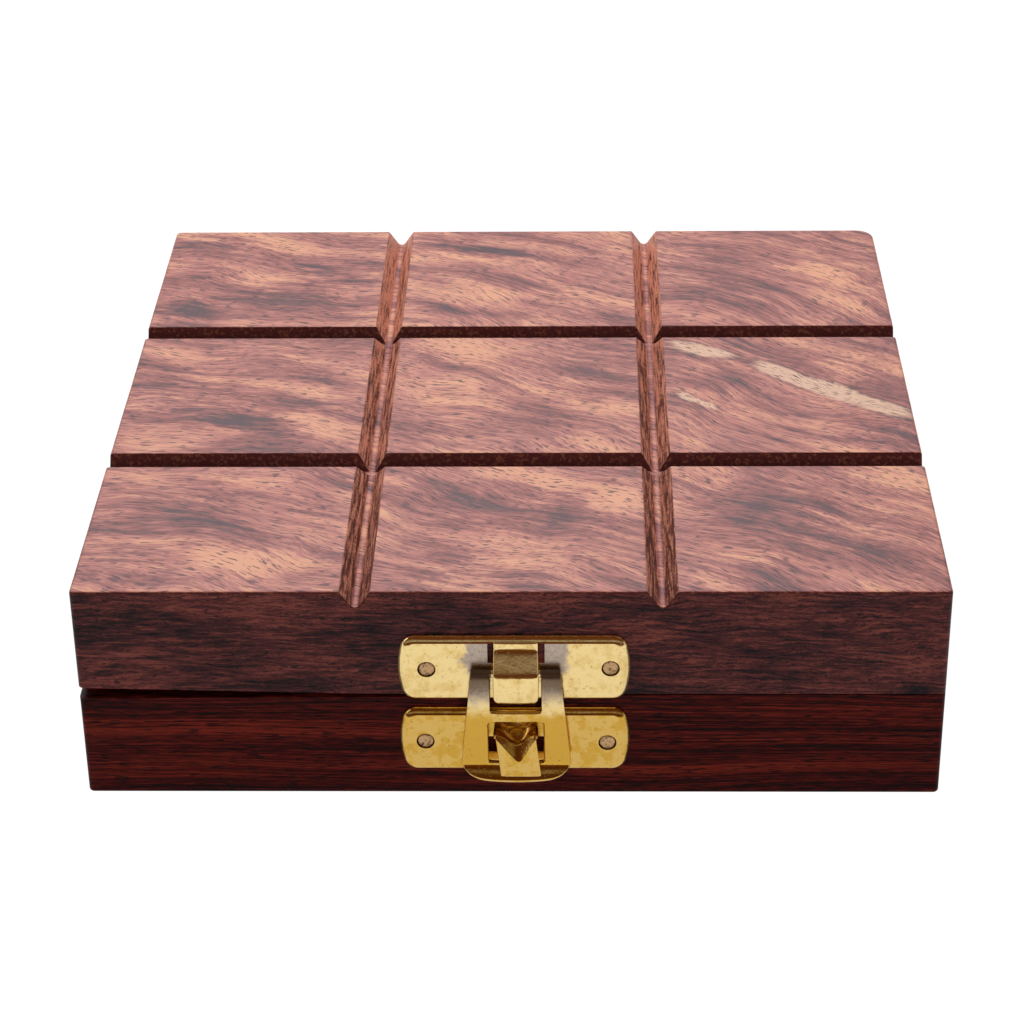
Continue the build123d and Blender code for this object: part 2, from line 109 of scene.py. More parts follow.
class WoodSettings(bpy.types.PropertyGroup):
    """The colours of the woods."""

    lid_dark: colour_setting("Lid, dark streaks", "Purple-brown streaks of the lid's figure", (0.062, 0.019, 0.030))
    lid_red: colour_setting("Lid, red-brown", "Ground colour of the lid", (0.275, 0.072, 0.064))
    lid_pink: colour_setting("Lid, pink-brown", "Lighter ground colour of the lid", (0.50, 0.172, 0.142))
    lid_tan: colour_setting("Lid, tan swirls", "Orange-tan swirls of the lid's figure", (0.76, 0.345, 0.205))
    sapwood: colour_setting("Sapwood", "Pale streaks of sapwood in the lid", (0.78, 0.49, 0.34))
    side_black: colour_setting("Sides, black zones", "Blue-black zones in the lid's sides", (0.0040, 0.0019, 0.0034))
    side_brown: colour_setting("Sides, brown", "Ground colour of the sides of the lid", (0.060, 0.0125, 0.0125))
    side_red: colour_setting("Sides, red", "Red lights in the sides of the lid", (0.165, 0.040, 0.030))
    groove_dark: colour_setting("Grooves, dark", "Dark fibres in the walls of the grooves", (0.085, 0.021, 0.015))
    groove_light: colour_setting("Grooves, light", "Orange fibres in the walls of the grooves", (0.70, 0.270, 0.175))
    # Painted shade: the walls of the grooves that run across get this dark colour in place of the shade on them.
    groove_painted_shade: colour_setting("Grooves, shade", "Walls of the grooves that run across", (0.060, 0.0095, 0.0085))
    groove_fleck: colour_setting("Grooves, flecks", "Orange flecks in those walls", (0.150, 0.040, 0.023))
    base_black: colour_setting("Base, black lines", "Black lines of the base", (0.0035, 0.0007, 0.0010))
    base_red: colour_setting("Base, deep red", "Ground colour of the base", (0.040, 0.0029, 0.0025))
    base_orange: colour_setting("Base, orange lines", "Orange-red lines of the base", (0.130, 0.0145, 0.0075))
    board_dark: colour_setting("Board, dark", "Dark lines of the solitaire board", (0.075, 0.026, 0.018))
    board_light: colour_setting("Board, light", "Light lines of the solitaire board", (0.34, 0.145, 0.075))
    pale_dark: colour_setting("Pale wood, dark", "Grain of the pale hardwood", (0.52, 0.33, 0.16))
    pale_light: colour_setting("Pale wood, light", "Ground of the pale hardwood", (0.78, 0.58, 0.36))


class BrassSettings(bpy.types.PropertyGroup):
    """The colours of the metals."""

    gold: colour_setting("Brass", "Clean polished brass", (0.88, 0.665, 0.30))
    ochre: colour_setting("Ochre", "Brass with a warm film", (0.62, 0.36, 0.055))
    tarnish: colour_setting("Tarnish", "Lilac-grey film round the loop and on the arms", (0.36, 0.30, 0.30))
    stain: colour_setting("Stains", "Thin brown stains on the plates", (0.42, 0.24, 0.07))
    pit: colour_setting("Pits", "Brown dirt in the pits and scratches", (0.12, 0.07, 0.03))
    nail: colour_setting("Nail heads", "Dull heads of the nails", (0.58, 0.36, 0.18))


class ClaspSettings(bpy.types.PropertyGroup):
    """The sizes of the stamped brass clasp."""

    sheet: length_setting("Sheet", "Thickness of the hasp, the loop and the catch", 0.8 * MM)
    plate: length_setting("Plate", "Thickness of the two plates", 1.1 * MM)
    plate_bulge: length_setting("Plate bulge", "How far the ends of a plate bulge", 1.0 * MM)
    plate_corner: length_setting("Plate corner", "Radius of a plate's corners", 1.6 * MM)
    plate_rim: length_setting("Plate rim", "Width of the rolled rim of a plate", 0.95 * MM)
    hole_radius: length_setting("Nail hole", "Radius of a nail hole in a plate", 1.33 * MM)
    nail_radius: length_setting("Nail head", "Radius of a nail's head", 1.17 * MM)
    nail_sink: length_setting("Nail sink", "How much deeper a nail's head lies than the CAD head", 0.14 * MM)
    bar_radius: length_setting("Hasp bar", "Radius of the bar that turns in the loop", 0.65 * MM)


class Signal:
    """One output of a shader node. Python's operators on it add Math nodes."""

    def __init__(self, finish, socket):
        self.finish = finish
        self.socket = socket

    def maths(self, operation, first, second):
        return self.finish.node("ShaderNodeMath", {"operation": operation}, {0: first, 1: second})

    def __add__(self, other):
        return self.maths("ADD", self, other)

    def __sub__(self, other):
        return self.maths("SUBTRACT", self, other)

    def __rsub__(self, other):
        return self.maths("SUBTRACT", other, self)

    def __mul__(self, other):
        return self.maths("MULTIPLY", self, other)

    def __abs__(self):
        return self.maths("ABSOLUTE", self, 0.0)


class Finish:
    """A procedural material, made node by node on the piece's own coordinates in millimetres."""

    def __init__(self, name):
        self.material = bpy.data.materials.new(name)
        self.material.use_nodes = True
        self.tree = self.material.node_tree
        self.tree.nodes.clear()
        spot = self.tree.nodes.new("ShaderNodeTexCoord")
        self.normal = Signal(self, spot.outputs["Normal"])
        self.place = self.vector("SCALE", Signal(self, spot.outputs["Object"]), scale=PER_METRE)

    def node(self, kind, settings=None, sockets=None, output=0):
        """Adds a node: its settings come first, then the values or links of its sockets."""
        made = self.tree.nodes.new(kind)
        for key, value in (settings or {}).items():
            if key == "stops":
                elements = made.color_ramp.elements
                while len(elements) < len(value):
                    elements.new(1.0)
                for element, (position, colour) in zip(elements, value):
                    element.position = position
                    element.color = (*colour, 1.0)
            else:
                setattr(made, key, value)
        for key, value in (sockets or {}).items():
            if isinstance(value, Signal):
                self.tree.links.new(value.socket, made.inputs[key])
            elif value is not None:
                made.inputs[key].default_value = value
        return Signal(self, made.outputs[output])

    def vector(self, operation, first, second=None, scale=None, output=0):
        sockets = {0: first, 1: second}
        if scale is not None:
            sockets["Scale"] = scale
        return self.node("ShaderNodeVectorMath", {"operation": operation}, sockets, output)

    def split(self, vector):
        parts = self.node("ShaderNodeSeparateXYZ", None, {0: vector})
        return [Signal(self, socket) for socket in parts.socket.node.outputs]

    def join(self, x, y, z):
        return self.node("ShaderNodeCombineXYZ", None, {0: x, 1: y, 2: z})

    def noise(self, vector, detail=2.0, roughness=0.5, output=0):
        sockets = {"Vector": vector, "Scale": 1.0, "Detail": detail, "Roughness": roughness}
        return self.node("ShaderNodeTexNoise", None, sockets, output)

    def smooth(self, value, low, high):
        """0 below low, 1 above high, and a soft step between. Low may be the larger."""
        return self.node(
            "ShaderNodeMapRange", {"interpolation_type": "SMOOTHSTEP"}, {0: value, 1: low, 2: high, 3: 0.0, 4: 1.0}
        )

    def ramp(self, value, *stops):
        return self.node("ShaderNodeValToRGB", {"stops": stops}, {0: value})

    def mix(self, factor, first, second, blend="MIX"):
        settings = {"data_type": "RGBA", "blend_type": blend, "clamp_factor": True}
        first, second = ((*c, 1.0) if not isinstance(c, Signal) else c for c in (first, second))
        return self.node("ShaderNodeMix", settings, {0: factor, 6: first, 7: second}, output=2)

    def patch(self, place, x, y, half_long, half_wide, turn):
        """A soft oval patch round a point in millimetres, 1 in its middle, turned about Z by degrees."""
        sockets = {
            "Vector": place,
            "Location": (x, y, 0.0),
            "Rotation": (0.0, 0.0, math.radians(turn)),
            "Scale": (half_long, half_wide, THROUGH),
        }
        mapped = self.node("ShaderNodeMapping", {"vector_type": "TEXTURE"}, sockets)
        return self.smooth(self.vector("LENGTH", mapped, output=1), 1.0, 0.1)

    def patches(self, place, spots):
        """Several patches with their strengths, added up."""
        total = 0.0
        for strength, *spot in spots:
            total = self.patch(place, *spot) * strength + total
        return total

    def surface(self, colour, roughness, height, depth, metallic=0.0, specular=0.5, coat=0.0, coat_roughness=0.1):
        """Closes the material with a Principled surface. A height of 1 stands as high as the depth, in millimetres."""
        bump = {"Strength": 1.0, "Distance": depth * MM, "Height": height}
        sockets = {
            "Base Color": colour,
            "Roughness": roughness,
            "Metallic": metallic,
            "Specular IOR Level": specular,
            "Coat Weight": coat,
            "Coat Roughness": coat_roughness,
            "Normal": self.node("ShaderNodeBump", None, bump),
        }
        return self.close(self.node("ShaderNodeBsdfPrincipled", None, sockets))

    def close(self, shader):
        made = self.tree.nodes.new("ShaderNodeOutputMaterial")
        self.tree.links.new(shader.socket, made.inputs["Surface"])
        return self.material


# Patches of the lid's figure: strength, x, y, half length, half width, turn in degrees.
LID_DARKS = (
    (0.9, -42.5, -12.0, 17.0, 5.5, -32.0),
    (0.5, -33.0, 5.0, 12.0, 4.0, -38.0),
    (0.4, -48.0, -40.0, 20.0, 5.0, -32.0),
    (0.7, -3.0, -41.0, 22.0, 6.0, -28.0),
    (0.6, 9.0, -38.0, 12.0, 5.0, 62.0),
    (0.7, 40.0, -43.0, 19.0, 5.5, -30.0),
    (0.6, -35.0, 46.0, 16.0, 4.0, -34.0),
    (0.6, -57.0, 31.0, 8.0, 5.0, -40.0),
    (0.7, -6.0, 54.0, 16.0, 3.5, -16.0),
    (0.6, -6.0, 29.0, 15.0, 3.5, -6.0),
    (0.5, 38.0, 39.0, 16.0, 5.0, -4.0),
    (0.5, 33.5, 3.3, 5.0, 4.0, 0.0),
    (0.5, -9.0, -11.5, 12.0, 2.6, -18.0),
    (0.4, 55.0, -52.0, 14.0, 5.0, -28.0),
)
LID_LIGHTS = (
    (0.6, -46.0, 4.0, 17.0, 4.5, -20.0),
    (0.5, -30.0, -4.0, 12.0, 4.0, -36.0),
    (0.6, -45.0, 41.5, 10.0, 5.0, -12.0),
    (0.6, 2.0, 36.0, 18.0, 4.0, -8.0),
    (0.7, 52.0, 45.0, 10.0, 6.0, -28.0),
    (0.5, 0.0, 3.0, 20.0, 5.0, -10.0),
    (0.6, 45.0, -12.0, 18.0, 4.0, -20.0),
    (0.6, 2.0, -30.0, 19.0, 3.5, -12.0),
    (0.7, 14.0, -35.0, 8.0, 4.0, -18.0),
    (0.6, -8.0, -60.0, 14.0, 4.0, -16.0),
    (0.6, -42.0, -54.0, 20.0, 5.0, -6.0),
    (0.5, 54.0, -30.0, 12.0, 4.0, -14.0),
    (0.5, 31.0, -60.0, 9.0, 4.0, -18.0),
)
SAPWOOD = (
    (1.1, 43.6, 5.4, 10.5, 3.4, -44.0),
    (1.1, 50.5, -0.2, 9.0, 3.6, -38.0),
    (1.1, 58.0, -5.6, 11.0, 3.5, -37.0),
    (1.1, 30.5, 14.2, 9.5, 3.2, -26.0),
    (0.85, 29.0, -4.0, 8.5, 1.9, -41.0),
)


def lid_top(f, wood):
    """The flowing figure of the top. Returns its colour, and the bands, fibres and pores in it."""
    drift = f.noise(f.vector("SCALE", f.place, scale=0.026), 2.0, 0.5, output=1)
    drift = f.vector("MULTIPLY", f.vector("SUBTRACT", drift, (0.5, 0.5, 0.5)), (15.0, 15.0, 9.0))
    x, y, z = f.split(f.vector("ADD", f.place, drift))
    reach = x + 46.0
    across = y + reach * 0.23 + reach * reach * 0.0024 + z * 1.7
    along = x - y * 0.45
    ragged = f.noise(f.join(across * 0.35, along * 0.09, 5.0), 4.0, 0.7, output=1)
    ragged = f.vector("SUBTRACT", ragged, (0.5, 0.5, 0.5))
    frayed = f.vector("ADD", f.place, f.vector("MULTIPLY", ragged, (12.0, 9.0, 0.0)))
    soft_edged = f.vector("ADD", f.place, f.vector("MULTIPLY", ragged, (5.0, 3.4, 0.0)))
    bands = f.noise(f.join(across * 0.13, along * 0.024, 3.0), 5.0, 0.65)
    lines = f.noise(f.join(across * 0.75, along * 0.055, 7.0), 5.0, 0.72)
    fibres = f.noise(f.join(across * 4.2, along * 0.32, 11.0), 3.0, 0.65)
    pores = f.smooth(f.noise(f.join(across * 3.0, along * 0.42, 19.0), 1.0, 0.5), 0.59, 0.65)
    lights = f.patches(frayed, LID_LIGHTS)
    sap_zone = f.patches(soft_edged, SAPWOOD)
    sap = f.smooth(sap_zone + fibres * 0.5 + lines * 0.3, 0.60, 1.20)
    sap_edge = f.smooth(sap_zone, 0.08, 0.30) * (1.0 - sap)
    tone = bands * 2.3 + lines * 1.25 + fibres * 0.9 - 1.71
    tone = tone + lights * 0.34 - f.patches(frayed, LID_DARKS) * 0.52 - sap_edge * 0.20
    warm = f.smooth(f.noise(f.vector("SCALE", f.place, scale=0.06), 3.0, 0.6) + lights * 0.12, 0.42, 0.62)
    shades = (wood.lid_dark, wood.lid_red, wood.lid_pink, wood.lid_tan)
    pink = f.ramp(tone, *zip((0.08, 0.36, 0.64, 1.0), shades))
    tan = f.ramp(tone, *zip((0.04, 0.28, 0.50, 0.74), shades))
    colour = f.mix(warm, pink, tan)
    colour = f.mix(sap * (fibres * 0.9 + 0.42), colour, wood.sapwood)
    return f.mix(pores * 0.8, colour, wood.lid_dark), bands, fibres, pores


def lid_sides(f, wood, bands):
    """The cloudy grain of the sides and of the hollow, in layers that lie a little aslant."""
    x, y, z = f.split(f.place)
    level = z + y * 0.4 + x * 0.02 + bands * 3.0
    clouds = f.noise(f.join(x * 0.045, y * 0.03, level * 0.16), 4.0, 0.6)
    grain = f.noise(f.join(x * 0.16, y * 0.16, level * 2.2), 5.0, 0.72)
    specks = f.noise(f.join(x * 0.75, y * 0.75, level * 4.6), 2.0, 0.6)
    tone = clouds * 1.2 + grain * 1.8 + specks * 0.7 - 1.35
    colour = f.ramp(tone, (0.22, wood.side_black), (0.50, wood.side_brown), (0.82, wood.side_red))
    return f.mix(f.smooth(specks, 0.575, 0.63) * 0.85, colour, wood.side_black)


def lid_grooves(f, wood, grit, toward_front):
    """Orange fibres in the grooves that run from the front back; in those that run across, walls in a dark painted
    shade with orange flecks.
    """
    x, y, z = f.split(f.place)
    runs = f.noise(f.join(x * 2.2, y * 0.16, z * 2.2), 4.0, 0.65)
    fibrous = f.smooth(grit * 0.35 + runs * 0.9 + y * 0.001, 0.50, 0.74)
    along = f.mix(fibrous, wood.groove_dark, wood.groove_light)
    # Walls facing the front or the back take painted shade, flecked with orange grain.
    across = f.mix(f.smooth(grit, 0.50, 0.66), wood.groove_painted_shade, wood.groove_fleck)
    return f.mix(f.smooth(abs(toward_front), 0.3, 0.6), along, across)


def lid_rosewood(wood):
    """Flat-sawn rosewood: a flowing figure on the top, orange fibres in the grooves, painted shade on the walls of the
    grooves that run across, darker sides.
    """
    f = Finish("lid_rosewood")
    toward_front, lean = f.split(f.normal)[1:]
    flat = f.smooth(lean, 0.70, 0.95)
    sloped = f.smooth(lean, 0.25, 0.5)
    top, bands, fibres, pores = lid_top(f, wood)
    grit = f.noise(f.vector("SCALE", f.place, scale=1.5), 3.0, 0.65)
    colour = f.mix(sloped, lid_sides(f, wood, bands), lid_grooves(f, wood, grit, toward_front))
    colour = f.mix(flat, colour, top)
    roughness = f.noise(f.vector("SCALE", f.place, scale=0.15), 2.0, 0.5) * 0.12 + 0.30 + sloped * 0.1
    height = fibres * 0.3 - pores + grit * (sloped - flat) * 0.8
    return f.surface(colour, roughness, height, 0.05, specular=0.12, coat=flat * 0.22, coat_roughness=0.35)


def base_rosewood(wood):
    """Straight-grained rosewood, deep red, with black and orange-red lines along it."""
    f = Finish("base_rosewood")
    drift = f.noise(f.vector("MULTIPLY", f.place, (0.012, 0.03, 0.05)), 2.0, 0.5)
    x, y, z = f.split(f.place)
    across = z + y * 0.22 + drift * 5.0
    depth = y * 0.25 + z * 0.1
    bands = f.noise(f.join(x * 0.004, depth * 0.4, across * 0.22), 3.0, 0.6)
    lines = f.noise(f.join(x * 0.03, depth, across * 3.4), 5.0, 0.72)
    fibres = f.noise(f.join(x * 0.30, y * 2.0, z * 4.5), 3.0, 0.65)
    pores = f.smooth(f.noise(f.join(x * 0.35, y * 2.5, z * 3.0), 1.0, 0.5), 0.59, 0.66)
    tone = bands * 1.1 + lines * 1.5 + fibres * 0.9 - 1.24
    colour = f.ramp(tone, (0.22, wood.base_black), (0.48, wood.base_red), (0.80, wood.base_orange))
    colour = f.mix(pores * 0.7, colour, wood.base_black)
    roughness = lines * 0.12 + 0.26
    return f.surface(colour, roughness, fibres * 0.3 - pores, 0.04, specular=0.05)


def straight_wood(name, dark, light, spread):
    """A plain straight-grained wood between two colours."""
    f = Finish(name)
    drift = f.noise(f.vector("MULTIPLY", f.place, (0.02, 0.05, 0.05)), 2.0, 0.5)
    x, y, z = f.split(f.place)
    across = y + z * 0.6 + drift * 6.0
    lines = f.noise(f.join(x * 0.012, across * spread, z * 0.2), 4.0, 0.6)
    fibres = f.noise(f.join(x * 0.2, y * 3.5, z * 3.5), 2.0, 0.6)
    pores = f.smooth(f.noise(f.join(x * 0.3, y * 2.4, z * 2.4), 1.0, 0.5), 0.62, 0.72)
    tone = f.smooth(lines + fibres * 0.25, 0.42, 0.82)
    colour = f.mix(tone, dark, light)
    colour = f.mix(pores * 0.35, colour, dark)
    roughness = fibres * 0.15 + 0.32
    return f.surface(colour, roughness, fibres * 0.3 - pores, 0.04, specular=0.4)


def clasp_brass(brass):
    """Stamped brass: polished, with patches of a warm film, darker and more orange towards the bottom, lilac tarnish
    near the loop, pits and scratches, and painted shade on the hasp's arms beside the loop.
    """
    f = Finish("clasp_brass")
    cloud = f.noise(f.vector("SCALE", f.place, scale=0.28), 4.0, 0.6)
    fine = f.noise(f.vector("SCALE", f.place, scale=2.2), 3.0, 0.6)
    x, y, z = f.split(f.place)
    aside = abs(x - 0.8)
    wander = cloud * 3.0 - 1.5
    facing = f.smooth(abs(f.split(f.normal)[2]), 0.45, 0.15)
    beside_loop = f.smooth(aside + wander * 1.5, 8.8, 6.6) * f.smooth(aside, 3.45, 3.65)
    on_plate = f.smooth(z + wander * 1.5, 20.5, 23.5) * beside_loop * facing
    on_arms = f.smooth(y, -65.0, -65.4) * f.smooth(z + wander * 1.6, 15.5, 21.5) * beside_loop
    grey = f.smooth(on_plate + on_arms, 0.15, 0.9)
    # Darker and more orange below about z = 17.8 mm, over the lower plate, the catch and the hasp's foot.
    film = f.smooth(z + wander * 1.5, 17.8, 15.5) * 0.75
    hasp_face = f.smooth(y, -66.2, -66.6) * f.smooth(y, -67.1, -66.9)
    low_arms = hasp_face * f.smooth(z + wander, 18.0, 13.0) * f.smooth(aside, 3.2, 3.6)
    pits = f.smooth(f.noise(f.vector("SCALE", f.place, scale=2.4), 3.0, 0.65), 0.66, 0.74)
    scratches = f.smooth(f.noise(f.join(x * 0.5 + z * 0.3, 0.0, z * 9.0 - x * 2.0), 2.0, 0.6), 0.70, 0.78)
    warm = f.smooth(f.noise(f.vector("SCALE", f.place, scale=0.55), 3.0, 0.6), 0.45, 0.68)
    colour = f.mix(film + low_arms * 0.4 + warm * 0.4, brass.gold, brass.ochre)
    stain = f.smooth(f.noise(f.vector("SCALE", f.place, scale=1.1), 4.0, 0.7), 0.56, 0.72)
    colour = f.mix(stain * 0.35, colour, brass.stain)
    colour = f.mix(grey * (fine * 0.6 + 0.5), colour, brass.tarnish)
    # Painted shade: the hasp's arms and the bar's ends beside the loop darken upward toward the pivot, in the pit
    # colour.
    eye_painted_shade = f.smooth(z + fine, 18.4, 22.2) * f.smooth(y, -65.2, -65.6) * beside_loop
    colour = f.mix(eye_painted_shade * 0.8, colour, brass.pit)
    colour = f.mix(pits * 0.8, colour, brass.pit)
    roughness = fine * 0.10 + warm * 0.06 + 0.10 + grey * 0.22 + pits * 0.3
    height = fine * 0.35 + cloud * 0.9 - pits - scratches * 0.3
    return f.surface(colour, roughness, height, 0.035, metallic=1.0)


def hinge_brass(brass):
    """Plain rolled brass with fine brush lines."""
    f = Finish("hinge_brass")
    x, y, z = f.split(f.place)
    cloud = f.noise(f.vector("SCALE", f.place, scale=0.2), 3.0, 0.6)
    brushed = f.noise(f.join(x * 0.4, y * 9.0, z * 9.0), 2.0, 0.6)
    colour = f.mix(cloud * 0.9 + brushed * 0.2 - 0.1, brass.gold, brass.ochre)
    roughness = cloud * 0.2 + brushed * 0.15 + 0.14
    return f.surface(colour, roughness, brushed * 0.4 + cloud * 0.4, 0.02, metallic=1.0)


def nail_metal(brass):
    """Dull nail heads, speckled by the hammer."""
    f = Finish("nail_metal")
    speckle = f.noise(f.vector("SCALE", f.place, scale=2.6), 3.0, 0.7)
    colour = f.mix(f.smooth(speckle, 0.46, 0.66), brass.nail, brass.pit)
    return f.surface(colour, speckle * 0.3 + 0.28, speckle, 0.06, metallic=0.9)


def dress(names, material):
    """Gives CAD nodes a material in every slot."""
    for name in names:
        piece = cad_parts[name]
        for slot in piece.material_slots:
            slot.material = material


def nodes_starting(*starts):
    return [name for name in sorted(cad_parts) if name.startswith(starts)]


# Size and place of each soft box, in metres. Each one looks at the box.
KEY_LAMP = (0.65, (-0.08, 0.58, 0.72))
SIDE_LAMP = (0.4, (-0.75, 0.0, 0.45))
FRONT_LAMP = (0.5, (0.10, -0.95, 0.38))
CARD_HEIGHT = 5.0
CARD_WIDENING = 4.0
CARD_PLACE = (0.0, -1.1, 1.35)
CARD_LEAN = 62.0


class BOX_OT_stage(bpy.types.Operator):
    """Sets the floor, the lamps, the world and the camera"""

    bl_idname = "game_box.stage"
    bl_label = "Stage"

    def execute(self, context):
        stage = context.scene.game_box_stage
        self.floor(stage)
        self.lamps(stage)
        self.dark_card()
        self.world(context, stage)
        self.camera(context, stage)
        context.scene.view_settings.view_transform = "Standard"
        return {"FINISHED"}

    def floor(self, stage):
        deselect_all()
        bpy.ops.mesh.primitive_plane_add(size=stage.floor_size, location=(0.0, 0.0, -0.05 * MM))
        floor = bpy.context.object
        floor.name = "floor"
        f = Finish("floor")
        rays = f.node("ShaderNodeLightPath")
        camera = Signal(f, rays.socket.node.outputs["Is Camera Ray"])
        glossy = Signal(f, rays.socket.node.outputs["Is Glossy Ray"])
        passing = Signal(f, rays.socket.node.outputs["Is Transmission Ray"])
        paper = f.node("ShaderNodeBsdfDiffuse", None, {"Color": (0.82, 0.82, 0.82, 1.0)})
        white = f.node("ShaderNodeEmission", None, {"Color": (1.0, 1.0, 1.0, 1.0), "Strength": 1.08})
        lit = camera * 0.93 + glossy * 0.735 + passing * 0.735
        floor.data.materials.append(f.close(f.node("ShaderNodeMixShader", None, {0: lit, 1: paper, 2: white})))

    def lamps(self, stage):
        self.soft_box("key_lamp", stage.key_power, *KEY_LAMP)
        self.soft_box("side_lamp", stage.side_power, *SIDE_LAMP)
        self.soft_box("front_lamp", stage.front_power, *FRONT_LAMP)
        bpy.context.object.visible_glossy = False

    def dark_card(self):
        """A dark card in front, above the camera's view, for the brass to mirror: it glows with brown streaks and a
        paler band half way up, which show in the brass as painted reflections.
        """
        deselect_all()
        lean = (math.radians(CARD_LEAN), 0.0, 0.0)
        bpy.ops.mesh.primitive_plane_add(size=CARD_HEIGHT, location=CARD_PLACE, rotation=lean)
        card = bpy.context.object
        card.name = "dark_card"
        edit_mesh()
        bpy.ops.transform.resize(value=(CARD_WIDENING, 1.0, 1.0))
        bpy.ops.object.mode_set(mode="OBJECT")
        f = Finish("card_dark")
        up = f.split(f.place)[1]
        streaks = f.noise(f.join(0.0, up * 0.006, 4.0), 3.0, 0.6)
        glow = f.smooth(up, -520.0, -380.0) * f.smooth(up, 80.0, -220.0)
        # Painted reflection: brown streaks and a pale band that only mirror rays see.
        shade = f.mix(f.smooth(streaks, 0.40, 0.62), (0.045, 0.018, 0.008), (0.22, 0.075, 0.02))
        shade = f.mix(glow * 0.9, shade, (0.42, 0.42, 0.42))
        card.data.materials.append(f.close(f.node("ShaderNodeEmission", None, {"Color": shade, "Strength": 1.0})))
        card.visible_camera = False
        card.visible_shadow = False
        card.visible_diffuse = False

    def soft_box(self, name, power, size, place):
        deselect_all()
        bpy.ops.object.light_add(type="AREA", location=place)
        lamp = bpy.context.object
        lamp.name = name
        lamp.data.energy = power
        lamp.data.size = size
        lamp.visible_camera = False
        lamp.rotation_euler = (-Vector(place)).to_track_quat("-Z", "Y").to_euler()

    def world(self, context, stage):
        world = bpy.data.worlds.new("studio")
        context.scene.world = world
        world.use_nodes = True
        tree = world.node_tree
        tree.nodes.clear()
        rays = tree.nodes.new("ShaderNodeLightPath")
        seen = rays.outputs["Is Camera Ray"]
        for kind in ("Is Glossy Ray", "Is Transmission Ray"):
            either = tree.nodes.new("ShaderNodeMath")
            either.operation = "MAXIMUM"
            tree.links.new(seen, either.inputs[0])
            tree.links.new(rays.outputs[kind], either.inputs[1])
            seen = either.outputs[0]
        strength = tree.nodes.new("ShaderNodeMapRange")
        strength.inputs["To Min"].default_value = stage.ambient
        tree.links.new(seen, strength.inputs["Value"])
        background = tree.nodes.new("ShaderNodeBackground")
        background.inputs["Color"].default_value = (1.0, 1.0, 1.0, 1.0)
        tree.links.new(strength.outputs[0], background.inputs["Strength"])
        output = tree.nodes.new("ShaderNodeOutputWorld")
        tree.links.new(background.outputs[0], output.inputs["Surface"])

    def camera(self, context, stage):
        azimuth, elevation, roll = stage.camera_azimuth, stage.camera_elevation, stage.camera_roll
        flat = math.cos(elevation)
        back = Vector((math.sin(azimuth) * flat, -math.cos(azimuth) * flat, math.sin(elevation)))
        side = Vector((math.cos(azimuth), math.sin(azimuth), 0.0))
        upward = back.cross(side)
        right = side * math.cos(roll) + upward * math.sin(roll)
        up = upward * math.cos(roll) - side * math.sin(roll)
        bpy.ops.object.camera_add()
        camera = context.object
        camera.name = "camera"
        camera.matrix_world = Matrix.Translation(Vector(stage.camera_aim) + back * stage.camera_distance) @ (
            Matrix((right, up, back)).transposed().to_4x4()
        )
        camera.data.sensor_width = 36.0
        camera.data.lens = stage.lens
        camera.data.clip_start = 0.01
        camera.data.clip_end = 50.0
        context.scene.camera = camera


# Modelling. Bare lengths below are in millimetres.

NEAR = 0.01
FLAT_WITHIN = 0.002
SMOOTH_ANGLE = 40.0
ROUNDING = 3
CUT_BEFORE = 1.0
CUT_BEHIND = 3.0
END_STEPS = 6


def deselect_all():
    if bpy.context.object and bpy.context.object.mode != "OBJECT":
        bpy.ops.object.mode_set(mode="OBJECT")
    bpy.ops.object.select_all(action="DESELECT")


def edit_mesh():
    bpy.ops.object.mode_set(mode="EDIT")


def pick(kind, test):
    """Selects the open mesh's vertices, edges or faces whose corners, in millimetres, all pass the test."""
    bpy.ops.mesh.select_mode(type=kind)
    bpy.ops.mesh.select_all(action="DESELECT")
    mesh = bmesh.from_edit_mesh(bpy.context.object.data)
    for part in {"VERT": mesh.verts, "EDGE": mesh.edges, "FACE": mesh.faces}[kind]:
        corners = [part] if kind == "VERT" else part.verts
        if all(test(corner.co * PER_METRE) for corner in corners):
            part.select_set(True)
    mesh.select_flush_mode()
    bmesh.update_edit_mesh(bpy.context.object.data)


def slide(x=0.0, y=0.0, z=0.0):
    """Moves what is selected, in millimetres."""
    bpy.ops.transform.translate(value=(x * MM, y * MM, z * MM))


def apply_modifier(piece, kind, **settings):
    modifier = piece.modifiers.new(kind.lower(), kind)
    for key, value in settings.items():
        setattr(modifier, key, value)
    bpy.context.view_layer.objects.active = piece
    bpy.ops.object.modifier_apply(modifier=modifier.name)


def settle(piece, name):
    """Puts the piece's place into its mesh."""
    deselect_all()
    piece.name = name
    piece.select_set(True)
    bpy.context.view_layer.objects.active = piece
    bpy.ops.object.transform_apply(location=True, rotation=True, scale=True)
    return piece


def rod(name, radius, length, place, turn, vertices=48):
    """A cylinder in millimetres, turned by degrees."""
    deselect_all()
    bpy.ops.mesh.primitive_cylinder_add(
        vertices=vertices,
        radius=radius * MM,
        depth=length * MM,
        location=Vector(place) * MM,
        rotation=[math.radians(angle) for angle in turn],
    )
    return settle(bpy.context.object, name)


def bar_stock(name, low, high):
    """A block between two corners in millimetres."""
    low, high = Vector(low), Vector(high)
    deselect_all()
    bpy.ops.mesh.primitive_cube_add(size=MM, location=(low + high) / 2 * MM)
    bpy.context.object.scale = high - low
    return settle(bpy.context.object, name)


def cut(piece, tool):
    """Cuts a tool out of the piece and throws the tool away."""
    apply_modifier(piece, "BOOLEAN", operation="DIFFERENCE", solver="MANIFOLD", object=tool)
    bpy.data.objects.remove(tool)


def weld(piece, part):
    """Joins a closed part, rooted in the piece, to its mesh."""
    deselect_all()
    part.select_set(True)
    piece.select_set(True)
    bpy.context.view_layer.objects.active = piece
    bpy.ops.object.join()


